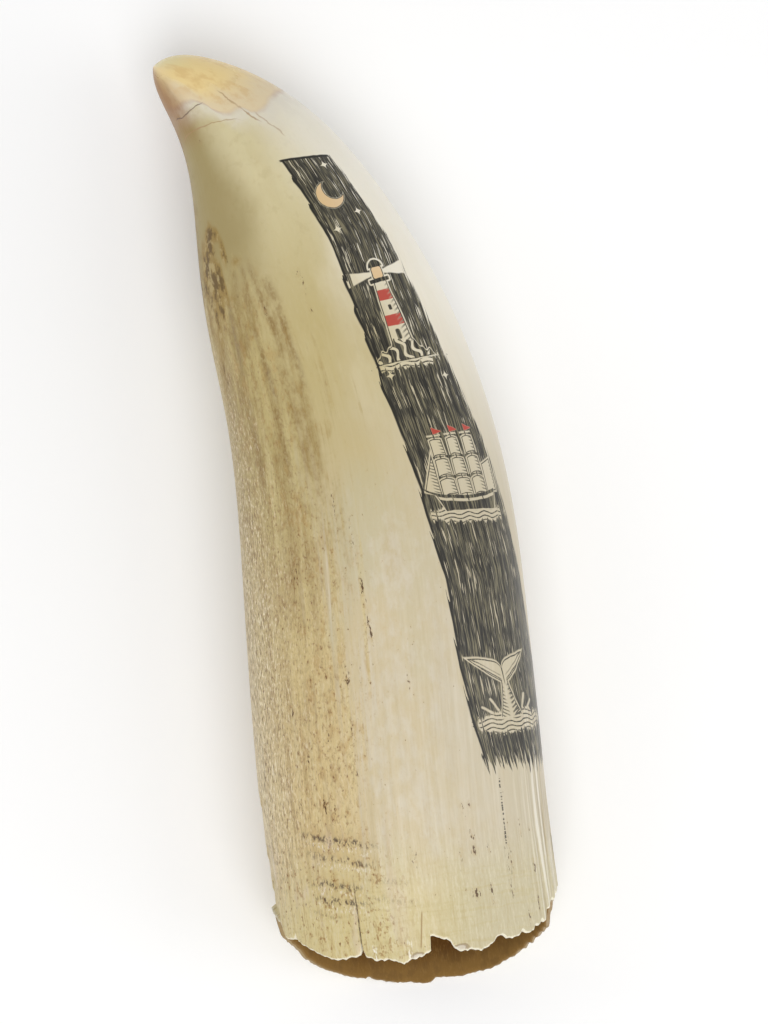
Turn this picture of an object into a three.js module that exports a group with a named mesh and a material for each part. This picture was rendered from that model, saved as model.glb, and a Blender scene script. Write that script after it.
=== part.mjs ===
// A scrimshaw whale tooth: one curved, hollow-rooted tooth that lies on its broad side.
// Millimetres. The tooth lies along Y with its tip towards +Y, +Z is up, and its curve lies flat in XY.
// A section of the tooth is an oval across a bent spine. The spine starts at the root and ends at the tip.
import * as THREE from "three";

// Overall form
const SPINE_LENGTH = 163.4; // along the spine, from the root's reference section to the tip
const ROOT_WIDTH = 50.5; // across the root, in the plane of the curve
const ROOT_THICKNESS = 40.4; // through the root, square to that plane
const TIP_ROUNDNESS = 0.95; // thickness over width at the tip, where the oval is nearly round
const TAPER_POWER = 3.66; // how late along the spine the taper sets in
const TAPER_ROUNDING = 0.864; // how full the taper stays on its way to the tip
const SHOULDER = { share: 0.72, reach: 0.13, swell: 0.024 }; // slight fullness below the crown
const TIP_BLUNTING = { reach: 4.9, swell: 0.9 }; // the worn, rounded point

// The spine's heading, in degrees from +Y towards -X, at even shares of its length
const HEADINGS = [7.7, 4.8, 7.3, 17.9, 26.8, 61.6];

// How it lies: the underside runs straight under the root half, and rises towards the tip
const TIP_LIFT = 14; // height of the underside at the tip
const TIP_LIFT_FROM = 0.5; // share of the spine where that rise starts
const FLAT_DEPTH = 0.4; // what is taken off the underside, so that the tooth lies without rolling

// The hollow root
const RIM_WALL = 1.2; // wall left at the broken rim
const PULP_DEPTH = 74; // from the reference section to the end of the pulp cavity
const PULP_FULLNESS = { power: 1.5, rounding: 0.9 }; // how the cavity closes towards its end

// The rim: two tongues, above and below, and the steps and notches broken out of it
// reach is how far a tongue runs past the sides, softness rounds the valleys beside it,
// and a power below one makes its shoulders fuller
const TONGUES = {
  upper: { reach: 9.6, softness: 0.12, power: 0.9 },
  lower: { reach: 15, softness: 0.05, power: 0.87 },
};
const RIM_TILT = 1.4; // the right side reaches this far past the left
const CHIP_FLANK = 0.3; // run of a chip's broken side
// Each chip runs from one place across the rim to another, in millimetres from the middle,
// and is deepFrom and deepTo deep at those places. "upper" and "lower" say which tongue has it.
const CHIPS = [
  { tongue: "upper", from: -0.2, to: 1.4, deepFrom: 0.5, deepTo: 1.6 },
  { tongue: "upper", from: 1.7, to: 5.3, deepFrom: 4.0, deepTo: 2.7 },
  { tongue: "upper", from: 5.3, to: 6.6, deepFrom: 1.7, deepTo: 0.7 },
  { tongue: "upper", from: 13.0, to: 14.8, deepFrom: 0.9, deepTo: 1.3 },
  { tongue: "upper", from: -10.3, to: -9.9, deepFrom: 1.6, deepTo: 1.4 },
  { tongue: "upper", from: -21.5, to: -20.9, deepFrom: 1.0, deepTo: 1.0 },
  { tongue: "lower", from: 1.4, to: 5.2, deepFrom: 0.8, deepTo: 0.3 },
  { tongue: "lower", from: -10.7, to: -9.8, deepFrom: 0.8, deepTo: 0.5 },
];

// Mesh
const COLUMNS = 68; // around the tooth, before the chips add theirs
const OUTER_ROWS = 34;
const INNER_ROWS = 12;
const LEAST_COLUMN = THREE.MathUtils.degToRad(0.5);

const rootHalfWidth = ROOT_WIDTH / 2;
const rootRoundness = ROOT_THICKNESS / ROOT_WIDTH;

// A smooth curve through values at even shares of the way
function throughEven(values, share) {
  const last = values.length - 1;
  const place = THREE.MathUtils.clamp(share, 0, 1) * last;
  const i = Math.min(Math.floor(place), last - 1);
  const slope = (k) => {
    const after = Math.min(k + 1, last);
    const before = Math.max(k - 1, 0);
    return (values[after] - values[before]) / (after - before);
  };
  const t = place - i;
  const t2 = t * t;
  const t3 = t2 * t;
  return (
    (2 * t3 - 3 * t2 + 1) * values[i] +
    (t3 - 2 * t2 + t) * slope(i) +
    (3 * t2 - 2 * t3) * values[i + 1] +
    (t3 - t2) * slope(i + 1)
  );
}

const headingAt = (s) => THREE.MathUtils.degToRad(throughEven(HEADINGS, s / SPINE_LENGTH));

// Places along the spine, found by walking it in short straight steps
const STEP = 0.5;
const walked = [new THREE.Vector2(0, 0)];
for (let k = 0; k * STEP < SPINE_LENGTH; k++) {
  const heading = headingAt((k + 0.5) * STEP);
  const step = new THREE.Vector2(-Math.sin(heading), Math.cos(heading)).multiplyScalar(STEP);
  walked.push(walked[k].clone().add(step));
}

// The spine's place in XY, carried on straight behind its start
function spineAt(s) {
  if (s <= 0) {
    const heading = headingAt(0);
    return new THREE.Vector2(-Math.sin(heading), Math.cos(heading)).multiplyScalar(s);
  }
  const place = s / STEP;
  const k = Math.min(Math.floor(place), walked.length - 2);
  return walked[k].clone().lerp(walked[k + 1], place - k);
}

// Half the tooth's width at a place along the spine
function halfWidthAt(s) {
  const share = THREE.MathUtils.clamp(s / SPINE_LENGTH, 0, 1);
  const toTip = SPINE_LENGTH * (1 - share);
  const taper = (1 - share ** TAPER_POWER) ** TAPER_ROUNDING;
  const shoulder = 1 + SHOULDER.swell * Math.exp(-(((share - SHOULDER.share) / SHOULDER.reach) ** 2));
  const blunting = 1 + TIP_BLUNTING.swell * Math.exp(-toTip / TIP_BLUNTING.reach);
  return rootHalfWidth * taper * shoulder * blunting;
}

// Half the tooth's thickness: the oval is nearly round at the tip
function halfThicknessAt(s) {
  const share = THREE.MathUtils.clamp(s / SPINE_LENGTH, 0, 1);
  return halfWidthAt(s) * THREE.MathUtils.lerp(rootRoundness, TIP_ROUNDNESS, share);
}

// Height of the underside, before the flat is taken off it
function undersideAt(s) {
  const rise = Math.max(0, (s / SPINE_LENGTH - TIP_LIFT_FROM) / (1 - TIP_LIFT_FROM));
  return TIP_LIFT * rise ** 2;
}

// How deep a chip is broken into the rim at a place across it
function chipDepth(chip, across) {
  const { from, to, deepFrom, deepTo } = chip;
  if (across <= from - CHIP_FLANK || across >= to + CHIP_FLANK) return 0;
  if (across < from) return deepFrom * (1 - (from - across) / CHIP_FLANK);
  if (across > to) return deepTo * (1 - (across - to) / CHIP_FLANK);
  return THREE.MathUtils.mapLinear(across, from, to, deepFrom, deepTo);
}

// Where the rim lies along the spine, for an angle around the section: 0 is the right side, 90 degrees the top
function rimAt(angle) {
  const across = rootHalfWidth * Math.cos(angle);
  const tongue = Math.sin(angle) >= 0 ? "upper" : "lower";
  const { reach, softness, power } = TONGUES[tongue];
  const softened = (height) => Math.hypot(height, softness) - softness;
  const whole = -reach * (softened(Math.sin(angle)) / softened(1)) ** power;
  const broken = CHIPS.filter((chip) => chip.tongue === tongue).map((chip) => chipDepth(chip, across));
  return whole - RIM_TILT * Math.cos(angle) + Math.max(0, ...broken);
}

// A point of the oval at a place along the spine, its half sizes taken in by inset and closing
function pointAt(s, angle, inset = 0, closing = 1) {
  const centre = spineAt(s);
  const heading = headingAt(s);
  const across = (halfWidthAt(s) - inset) * closing * Math.cos(angle);
  const middle = undersideAt(s) + halfThicknessAt(s) - FLAT_DEPTH;
  const height = middle + (halfThicknessAt(s) - inset) * closing * Math.sin(angle);
  return new THREE.Vector3(
    centre.x + Math.cos(heading) * across,
    centre.y + Math.sin(heading) * across,
    Math.max(height, 0),
  );
}

// The angles of the columns: even ones, and one at each corner of a chip
function columnAngles() {
  const even = Array.from({ length: COLUMNS }, (_, k) => (2 * Math.PI * k) / COLUMNS);
  const corners = CHIPS.flatMap(({ tongue, from, to }) =>
    [from - CHIP_FLANK, from, to, to + CHIP_FLANK].map((across) => {
      const angle = Math.acos(THREE.MathUtils.clamp(across / rootHalfWidth, -1, 1));
      return tongue === "upper" ? angle : 2 * Math.PI - angle;
    }),
  );
  const sorted = [...corners, ...even].sort((a, b) => a - b);
  return sorted.filter((angle, k) => k === 0 || angle - sorted[k - 1] > LEAST_COLUMN);
}

// Rows of points round the outside, from the rim to just short of the tip, closer together near the tip
function outerRings(angles) {
  return Array.from({ length: OUTER_ROWS }, (_, row) => {
    const share = Math.sin((Math.PI / 2) * (row / OUTER_ROWS) ** 1.15);
    return angles.map((angle) => pointAt(THREE.MathUtils.lerp(rimAt(angle), SPINE_LENGTH, share), angle));
  });
}

// Rows of points round the pulp cavity, from just short of its end to the rim
function innerRings(angles) {
  return Array.from({ length: INNER_ROWS }, (_, row) => {
    const share = 1 - (row + 1) / INNER_ROWS;
    const closing = (1 - share ** PULP_FULLNESS.power) ** PULP_FULLNESS.rounding;
    return angles.map((angle) => {
      const s = THREE.MathUtils.lerp(rimAt(angle), PULP_DEPTH, share);
      return pointAt(s, angle, RIM_WALL, closing);
    });
  });
}

// One closed surface through the rings, with a point at each end
function closedSkin(rings, firstPoint, lastPoint) {
  const count = rings[0].length;
  const points = [firstPoint, ...rings.flat(), lastPoint];
  const last = points.length - 1;
  const at = (ring, k) => 1 + ring * count + (k % count);
  const faces = [];
  for (let k = 0; k < count; k++) {
    faces.push(0, at(0, k), at(0, k + 1));
    for (let ring = 0; ring < rings.length - 1; ring++) {
      faces.push(at(ring, k), at(ring + 1, k), at(ring + 1, k + 1));
      faces.push(at(ring, k), at(ring + 1, k + 1), at(ring, k + 1));
    }
    faces.push(at(rings.length - 1, k), last, at(rings.length - 1, k + 1));
  }
  const geometry = new THREE.BufferGeometry().setFromPoints(points);
  geometry.setIndex(faces);
  return geometry;
}

// The tooth, with the middle of its footprint moved over the origin
function toothGeometry() {
  const angles = columnAngles();
  const pulpEnd = pointAt(PULP_DEPTH, 0, 0, 0);
  const tip = pointAt(SPINE_LENGTH, 0, 0, 0);
  const geometry = closedSkin([...innerRings(angles), ...outerRings(angles)], pulpEnd, tip);
  geometry.computeBoundingBox();
  const middle = geometry.boundingBox.getCenter(new THREE.Vector3());
  geometry.translate(-middle.x, -middle.y, 0);
  geometry.computeVertexNormals();
  return geometry;
}

const ivory = new THREE.MeshStandardMaterial({ color: 0xd9cda4, roughness: 0.35, metalness: 0 });

const tooth = new THREE.Mesh(toothGeometry(), ivory);
tooth.name = "tooth";

const scrimshawTooth = new THREE.Group();
scrimshawTooth.add(tooth);
export default scrimshawTooth;
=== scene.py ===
"""A scrimshaw whale tooth that lies on its broad side: its surface, ivory, ink, floor, lights and camera."""
import math
import bpy
import numpy as np
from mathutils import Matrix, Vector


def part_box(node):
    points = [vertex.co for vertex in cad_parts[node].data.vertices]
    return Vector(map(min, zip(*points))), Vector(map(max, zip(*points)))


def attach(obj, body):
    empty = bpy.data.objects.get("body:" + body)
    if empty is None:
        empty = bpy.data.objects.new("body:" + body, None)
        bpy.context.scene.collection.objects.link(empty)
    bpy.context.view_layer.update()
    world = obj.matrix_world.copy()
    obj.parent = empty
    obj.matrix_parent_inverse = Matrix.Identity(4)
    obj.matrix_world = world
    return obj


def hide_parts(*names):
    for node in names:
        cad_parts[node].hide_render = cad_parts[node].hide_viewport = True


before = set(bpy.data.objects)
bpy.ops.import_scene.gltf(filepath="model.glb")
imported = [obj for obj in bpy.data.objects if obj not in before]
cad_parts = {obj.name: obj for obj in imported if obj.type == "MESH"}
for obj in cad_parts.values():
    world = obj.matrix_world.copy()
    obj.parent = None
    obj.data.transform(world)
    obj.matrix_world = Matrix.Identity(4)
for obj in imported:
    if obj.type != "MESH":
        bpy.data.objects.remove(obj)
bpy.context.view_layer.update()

MM = 0.001

# Camera, floor and light, in metres and watts
CAMERA_ELEVATION = math.radians(85)
CAMERA_DISTANCE = 0.65
CAMERA_TARGET = np.array([5.626, 0.330, 20.0]) * MM
LENS = 128.4
FLOOR_SIZE = 3.0
LIT_POINT = (0, 0, 0.02)
SOFTBOXES = (
    ("top_softbox", (0.1, -0.45, 0.95), (0.7, 0.7), 5.5),
    ("right_softbox", (0.85, -0.1, 0.45), (0.5, 1.0), 2.2),
    ("left_softbox", (-0.9, 0.3, 0.5), (0.5, 1.0), 1.6),
)
SURROUND_STRENGTH = 0.5

# Overall form, as the solid has it
SPINE_LENGTH = 163.4 * MM
ROOT_WIDTH = 50.5 * MM
ROOT_THICKNESS = 40.4 * MM
TIP_ROUNDNESS = 0.95
TAPER_POWER = 3.66
TAPER_ROUNDING = 0.864
SHOULDER_SHARE, SHOULDER_REACH, SHOULDER_SWELL = 0.72, 0.13, 0.024
BLUNTING_REACH, BLUNTING_SWELL = 4.9 * MM, 0.9
HEADINGS = np.array([7.7, 4.8, 7.3, 17.9, 26.8, 61.6])  # degrees from +Y towards -X, at even shares

# How it lies
TIP_LIFT = 14 * MM
TIP_LIFT_FROM = 0.5
FLAT_DEPTH = 0.4 * MM

# The hollow root
RIM_WALL = 1.2 * MM
PULP_DEPTH = 74 * MM
PULP_POWER, PULP_ROUNDING = 1.5, 0.9

# The rim's two tongues
UPPER_REACH, UPPER_SOFTNESS, UPPER_POWER = 9.6 * MM, 0.12, 0.9
LOWER_REACH, LOWER_SOFTNESS, LOWER_POWER = 15 * MM, 0.05, 0.87
RIM_TILT = 1.4 * MM

# The broken rim, in millimetres across the tooth from its middle. The upper tongue's break is how far it is
# broken back from the plain rim, and the lower tongue's is where it ends along the spine.
UPPER_BREAK = np.array([
    (-25.25, 0.9), (-24.4, 1.1), (-23.8, 1.25), (-23.2, -0.8), (-21.75, -0.2), (-21.24, 1.22),
    (-21.06, 0.05), (-19.85, -0.2), (-18.5, -0.4), (-16.05, -1), (-14, -0.5), (-11, 0.36), (-10.75, 0.55),
    (-10.4, 1.5), (-10.22, 2.5), (-10.1, 2.5), (-9.95, 1.4), (-9.65, 0.6), (-8.4, 0), (-5.7, 0.1),
    (-3.4, -0.5), (-1.9, 0.14), (-0.17, 0.54), (0.89, 1.3), (1.5, 1.5), (1.72, 3.9), (3.64, 3.3),
    (5.1, 2.65), (5.48, 1.6), (6.6, 0.75), (8.1, 0.6), (10.4, 0), (12.4, 0.7), (13.4, 1.47), (14.4, 1.5),
    (14.9, 0.78), (16, 0.24), (17.1, 0.35), (17.8, 0.6), (19.2, -0.33), (20.5, 0.06), (21.9, -0.24),
    (22.8, 0.96), (23.7, 1.54), (24.4, 1.24), (25.25, 1),
]) * MM
LOWER_RIM = np.array([
    (-25.25, 2.2), (-24.9, 0.65), (-24.7, -1.2), (-24.4, -3), (-23.1, -4.7), (-21.5, -6.8), (-21.3, -7.5),
    (-18, -10.1), (-13.7, -12.1), (-11.6, -12.7), (-10.5, -12.9), (-10.3, -12.2), (-9.7, -13.1),
    (-8.3, -13.6), (-4.2, -14.5), (-0.1, -15.15), (1.4, -15.1), (1.8, -14.4), (6.55, -14.8),
    (12.45, -14.05), (16.6, -12.4), (21, -9.6), (23.3, -7.7), (23.8, -5.6), (24.6, -3.2), (25.25, -0.4),
]) * MM

# Thin flakes gone from the left side above the rim: where each ends along the spine, and how deep it was
LEFT_FLAKES = np.array([(20.5, 0.28), (11.8, 0.3), (6.6, 0.26)]) * MM

# Relief too fine for the solid
SLOW_SWELL = 0.1 * MM
RING_HEIGHT = 0.015 * MM
RIM_SCALLOPS = 0.35 * MM
FLAKE_STEP = 0.7 * MM
FLAKE_RAGGEDNESS = 1.2 * MM
HOLLOW_SWELL = 0.08 * MM
LIP_ROUNDING = 0.22 * MM
LIP_SWELL = 0.08 * MM
LIP_TO_OUTSIDE = 0.25 * MM
SLIT_ANGLE = 113.6  # degrees round the tooth

# Mesh
COLUMNS = 530
OUTER_ROWS = 146
LIP_ROWS = 5
INNER_ROWS = 26
SEAM = math.radians(-90)  # the grid's first and last columns meet along the underside

ROOT_ROUNDNESS = ROOT_THICKNESS / ROOT_WIDTH
NOMINAL_RADIUS = ROOT_WIDTH / 2  # turns an angle round the tooth into millimetres of grain
DEGREE = 0.44  # millimetres round the root for one degree


def through_even(values, share):
    """A smooth curve through values at even shares of the way: a cubic between each two, with mean slopes."""
    place = np.clip(share, 0, 1) * (len(values) - 1)
    i = np.minimum(place.astype(int), len(values) - 2)
    slope = np.gradient(values)
    t = place - i
    start = (2 * t**3 - 3 * t**2 + 1) * values[i] + (t**3 - 2 * t**2 + t) * slope[i]
    return start + (3 * t**2 - 2 * t**3) * values[i + 1] + (t**3 - t**2) * slope[i + 1]


def smooth_step(low, high, value):
    """0 below low, 1 above high, and the cubic 3t^2 - 2t^3 between them."""
    t = np.clip((value - low) / (high - low), 0, 1)
    return t * t * (3 - 2 * t)


def spine_at(s):
    """The spine's x, y and heading: the running sum of short steps along the heading, straight behind its
    start."""
    marks = np.linspace(0, SPINE_LENGTH, 1601)
    step = marks[1]
    heading = np.radians(through_even(HEADINGS, (marks[:-1] + step / 2) / SPINE_LENGTH))
    x = np.concatenate([[0], np.cumsum(-np.sin(heading) * step)])
    y = np.concatenate([[0], np.cumsum(np.cos(heading) * step)])
    at = np.radians(through_even(HEADINGS, s / SPINE_LENGTH))
    behind = np.minimum(s, 0)
    return np.interp(s, marks, x) - np.sin(at) * behind, np.interp(s, marks, y) + np.cos(at) * behind, at


def half_sizes(s):
    """Half the width and half the thickness of the oval: a tapering power of the share of the spine,
    with a slight shoulder and a blunt tip."""
    share = np.clip(s / SPINE_LENGTH, 0, 1)
    taper = (1 - share**TAPER_POWER) ** TAPER_ROUNDING
    shoulder = 1 + SHOULDER_SWELL * np.exp(-(((share - SHOULDER_SHARE) / SHOULDER_REACH) ** 2))
    blunting = 1 + BLUNTING_SWELL * np.exp(-SPINE_LENGTH * (1 - share) / BLUNTING_REACH)
    width = ROOT_WIDTH / 2 * taper * shoulder * blunting
    return width, width * (ROOT_ROUNDNESS + (TIP_ROUNDNESS - ROOT_ROUNDNESS) * share)


def surface(s, angle, inset=0, closing=1):
    """Points of the oval at s along the spine: half sizes less inset, times closing, turned by angle,
    and nothing lower than the flat on the underside."""
    x, y, heading = spine_at(s)
    width, thickness = half_sizes(s)
    rise = np.maximum(0, (s / SPINE_LENGTH - TIP_LIFT_FROM) / (1 - TIP_LIFT_FROM))
    middle = TIP_LIFT * rise**2 + thickness - FLAT_DEPTH
    across = (width - inset) * closing * np.cos(angle)
    height = middle + (thickness - inset) * closing * np.sin(angle)
    return np.stack([x + np.cos(heading) * across, y + np.sin(heading) * across, np.maximum(height, 0)], -1)


def plain_rim(angle):
    """The rim before it was broken: a tongue above and one below, each a power of the softened sine."""
    def tongue(reach, softness, power):
        softened = np.hypot(np.sin(angle), softness) - softness
        return reach * (softened / (math.hypot(1, softness) - softness)) ** power
    upper = tongue(UPPER_REACH, UPPER_SOFTNESS, UPPER_POWER)
    lower = tongue(LOWER_REACH, LOWER_SOFTNESS, LOWER_POWER)
    return -np.where(np.sin(angle) >= 0, upper, lower) - RIM_TILT * np.cos(angle)


def jagged(angle, count, depth, seed):
    """A broken line round the rim: straight between count seeded places, about a mean of nothing."""
    rng = np.random.default_rng(seed)
    turn = 2 * math.pi
    places = (np.arange(count) + rng.uniform(-0.4, 0.4, count)) * turn / count
    depths = depth * (rng.random(count) ** 2 - 1 / 3)
    return np.interp(angle % turn, places, depths, period=turn)


def rim_at(angle):
    """Where the broken rim lies along the spine: the plain upper tongue less its break, the lower one as
    broken, and two sizes of fine jagged break on both."""
    across = ROOT_WIDTH / 2 * np.cos(angle)
    upper = plain_rim(angle) + np.interp(across, UPPER_BREAK[:, 0], UPPER_BREAK[:, 1])
    lower = np.interp(across, LOWER_RIM[:, 0], LOWER_RIM[:, 1])
    share = smooth_step(-0.04, 0.04, np.sin(angle))
    fine = jagged(angle, 150, 0.4 * MM, 3) + jagged(angle, 450, 0.25 * MM, 4)
    right = smooth_step(0.6, 0.85, np.cos(angle))
    scallops = RIM_SCALLOPS * right * waves(0 * angle, angle, (50, 90), (1, 2), 5, 5)
    return lower + (upper - lower) * share + (fine + scallops) * (0.45 + 0.55 * share)


def waves(s, angle, turns, lengths, count, seed):
    """Seeded waves over the tooth, about -1 to 1: a sum of sines with whole turns round it and set lengths
    along it."""
    rng = np.random.default_rng(seed)
    total = np.zeros(np.broadcast(s, angle).shape)
    for _ in range(count):
        around = rng.integers(turns[0], turns[1] + 1)
        along = 2 * math.pi / rng.uniform(*lengths) * rng.choice([-1, 1])
        total += np.sin(around * angle + along * s + rng.uniform(0, 2 * math.pi))
    return total / math.sqrt(count)


def flute_waves(angle, s):
    """The heights of the fine flutes at the root, -1 to 1: waves that run along the tooth, crossed by slow
    ones."""
    return waves(s, angle, (34, 100), (70 * MM, 220 * MM), 24, 12)


def outer_relief(s, angle):
    """How far the outside stands proud: slow waves, fine flutes along the root that die out towards the
    crown and are strongest at the right, faint growth rings near the rim, and steps down where flakes came
    off the left."""
    slow = SLOW_SWELL * waves(s, angle, (1, 5), (30 * MM, 90 * MM), 10, 11)
    root = 1 - smooth_step(12 * MM, 80 * MM, s)
    right = smooth_step(0.72, 0.95, np.cos(angle)) * (1 - smooth_step(8 * MM, 24 * MM, s))
    flutes = (0.03 + 0.09 * right) * MM * flute_waves(angle, s)
    near_rim = 1 - smooth_step(5 * MM, 30 * MM, s)
    rings = RING_HEIGHT * waves(s, angle, (0, 1), (1.6 * MM, 4 * MM), 8, 13) * near_rim
    left = smooth_step(0.93, 0.975, -np.cos(angle))
    ragged = FLAKE_RAGGEDNESS * waves(s, angle, (20, 60), (50 * MM, 90 * MM), 8, 14)
    half_step = FLAKE_STEP / 2
    gone = 0
    for end, depth in LEFT_FLAKES:
        gone = gone + depth * (1 - smooth_step(end - half_step, end + half_step, s + ragged))
    tip = smooth_step(0, 12 * MM, SPINE_LENGTH - s)
    return (slow + flutes * (0.2 + 0.8 * root) + rings) * tip - gone * left


def column_angles():
    """Angles of the columns from the seam round to it: closer together over the top, and closest at the
    slit."""
    angle = np.linspace(SEAM, SEAM + 2 * math.pi, 20001)
    upper = smooth_step(-0.35, 0.0, np.sin(angle))
    slit = np.exp(-(((angle - math.radians(SLIT_ANGLE)) / 0.03) ** 2))
    density = 1 + 1.2 * upper + 5 * slit
    total = np.concatenate([[0], np.cumsum(density[1:])])
    return np.interp(np.linspace(0, total[-1], COLUMNS + 1), total, angle)


def outer_shares():
    """Each outside row's share of the way from the rim to the tip: rows stand close near the rim and the
    tip."""
    share = np.linspace(0, 1, 4001)
    density = 1 + 1.6 * (1 - smooth_step(0.12, 0.3, share)) + 14 * smooth_step(0.9, 1, share) ** 2
    total = np.concatenate([[0], np.cumsum(density[1:])])
    return np.interp((np.arange(OUTER_ROWS) + 0.4) / OUTER_ROWS, total / total[-1], share)


def tooth_grid():
    """The whole skin as one grid: rows from the end of the pulp cavity out to the rim, over the lip, and
    along the outside to the tip. Returns the points, and each row's share of being inside, and s, all per
    grid point."""
    angle = column_angles()[None, :]
    rim = rim_at(angle)
    inner_share = 1 - (np.arange(INNER_ROWS)[:, None] + 1) / (INNER_ROWS + 1)
    inner_share = inner_share**1.35
    inner_s = rim + (PULP_DEPTH - rim) * inner_share
    closing = (1 - inner_share**PULP_POWER) ** PULP_ROUNDING
    inner_relief = HOLLOW_SWELL * waves(inner_s, angle, (2, 12), (6 * MM, 40 * MM), 16, 21)
    inner = surface(inner_s, angle, RIM_WALL + inner_relief, closing)

    lip_share = (np.arange(LIP_ROWS)[:, None] + 0.5) / LIP_ROWS
    lip_back = LIP_ROUNDING * (2 * lip_share - 1) ** 2
    lip_s = rim + lip_back + LIP_SWELL * waves(lip_share, angle, (60, 160), (0.5, 2), 12, 22)
    lip = surface(lip_s, angle, RIM_WALL * (1 - lip_share) ** 1.2)

    outer_start = rim + LIP_TO_OUTSIDE
    outer_s = outer_start + (SPINE_LENGTH - rim - LIP_TO_OUTSIDE) * outer_shares()[:, None]
    outer = surface(outer_s, angle, -outer_relief(outer_s, angle))

    points = np.concatenate([inner, lip, outer])
    s = np.concatenate([inner_s, lip_s, outer_s])
    inside = np.concatenate([np.ones_like(inner_s), np.broadcast_to(1 - lip_share, lip_s.shape) ** 3,
                             np.zeros_like(outer_s)])
    from_rim = s - rim
    return points, s, np.broadcast_to(angle, s.shape), inside, from_rim


def arc_length(s, angle):
    """Length round the oval from the first column to each: the running sum of the steps of a plain
    ellipse."""
    width, thickness = half_sizes(s)
    middle = (angle[:, 1:] + angle[:, :-1]) / 2
    speed = np.hypot(width[:, 1:] * np.sin(middle), thickness[:, 1:] * np.cos(middle))
    steps = speed * np.diff(angle, axis=1)
    return np.concatenate([np.zeros((len(s), 1)), np.cumsum(steps, axis=1)], axis=1)


# The ink panel's left edge: places along the spine in millimetres, and degrees round the tooth
PANEL_EDGE = np.array([
    (20.7, 52.8), (30.5, 58), (41, 62), (56.4, 64.5), (65, 68), (73.7, 71), (88.8, 76.5), (104, 77),
    (116.4, 75), (124.8, 77), (133.5, 79),
])
PANEL_FOOT = 20.7 * MM
PANEL_WIDTH = 24.8 * MM  # at its foot
PANEL_LENGTH = 112 * MM
PANEL_NARROWING = 0.145  # width lost for each length along the spine
SIDE_MARGIN, FOOT_MARGIN, TOP_MARGIN = 2 * MM, 12 * MM, 4 * MM  # round the panel, where faces may hold ink


def panel_coordinates(s, angle):
    """Across and up the ink panel: arc length round the tooth from the panel's left edge, and s above its
    foot."""
    arc = arc_length(s, angle)
    edge = np.radians(np.interp(s.mean(axis=1) / MM, PANEL_EDGE[:, 0], PANEL_EDGE[:, 1]))
    at_edge = np.array([np.interp(e, a, row) for e, a, row in zip(edge, angle, arc)])
    return at_edge[:, None] - arc, s - PANEL_FOOT


# Lines round the tooth's skin: degrees round it, and places along the spine in millimetres
TIP_EDGE = np.array([
    (-90, 147), (-20, 144), (32, 143.4), (50, 142.9), (61, 142.3), (69, 142.1), (73, 142.9), (76, 144.4),
    (82, 144.6), (88, 144.8), (94, 146), (98, 147.5), (100, 149.3), (102, 150.1), (108, 151.9), (119, 153),
    (131, 153.5), (150, 155), (175, 156), (220, 151), (270, 147),
])
UPPER_CRACK = np.array([
    (-90, 158), (101, 150.1), (113, 150.6), (123, 151), (137, 151.5), (150, 152.4), (180, 154), (270, 158),
])
LOWER_CRACK = np.array([
    (-90, 120), (84, 142.3), (87, 143.3), (92, 143.8), (99, 144.8), (108, 146), (118, 146.6), (132, 147.6),
    (143, 148), (157, 147.9), (180, 149), (270, 152),
])
# Lines along the tooth's skin: places along the spine in millimetres, and degrees round it
LONG_CRACK = np.array([
    (0, 50), (140.5, 73.2), (142.6, 76.1), (144.2, 77.1), (146.4, 78.3), (149.4, 78.6), (160, 79),
])
SHORT_CRACK = np.array([(0, 40), (136.3, 65.3), (138.2, 67.2), (140.2, 69.4), (142.1, 70.3), (160, 76)])
# The middle of the brown, streaked side, in degrees round the tooth, and its right edge
AGED_MIDDLE = 172
AGED_EDGE = np.array([
    (-20, 99), (18, 99), (35, 99.6), (53, 100), (70, 102), (89, 104), (117.7, 119), (130, 140),
])

# Finishes: the root's ends and the crown's starts at these places along the spine, and the order of the
# materials
ROOT_ZONE = 48 * MM
CROWN_ZONE = 126 * MM
CROWN_SLOT = 2
INKED_SLOTS = 3
HOLLOW_SLOT = 6

# Brown streaks of the aged side: start and end along the spine in millimetres, degrees round the tooth at
# each, width in millimetres, and strength
BROWN_STREAKS = np.array([
    (104, 60, 116.5, 113.6, 1.2, 0.4), (94, 68, 127.5, 122.5, 0.6, 0.8), (99, 76, 148, 138, 0.5, 0.7),
    (113.5, 104, 113.5, 110.5, 0.9, 0.8), (109, 98, 117.5, 115.5, 0.5, 0.9),
    (119, 102, 121.6, 116.8, 0.55, 1), (113.9, 92, 128.2, 125.6, 0.5, 0.9), (104, 70, 127, 125, 0.8, 0.5),
    (107.5, 86, 111.4, 109.2, 0.6, 0.8), (118, 108, 126, 125, 0.5, 0.7), (100, 72, 119, 117, 0.9, 0.5),
    (118.5, 113.5, 133, 132, 0.6, 0.7), (112, 80, 136, 134, 0.8, 0.6), (96, 60, 112.5, 110, 0.9, 0.35),
    (108, 60, 151, 149, 1.1, 0.6), (90, 50, 142, 140, 1, 0.5), (86, 40, 130, 128, 1.1, 0.45),
    (76, 48, 104.5, 104, 0.7, 0.3), (66, 40, 121, 119, 0.9, 0.35), (58, 20, 137, 136, 1.2, 0.4),
    (110, 20, 160, 158, 1.4, 0.7), (104, 10, 169, 168, 1.2, 0.6), (60, 10, 147, 146, 1.3, 0.5),
    (95, 5, 178, 177, 1.2, 0.5), (102, 30, 190, 191, 1.4, 0.5), (90, 10, 203, 204, 1.6, 0.4),
])
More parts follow.
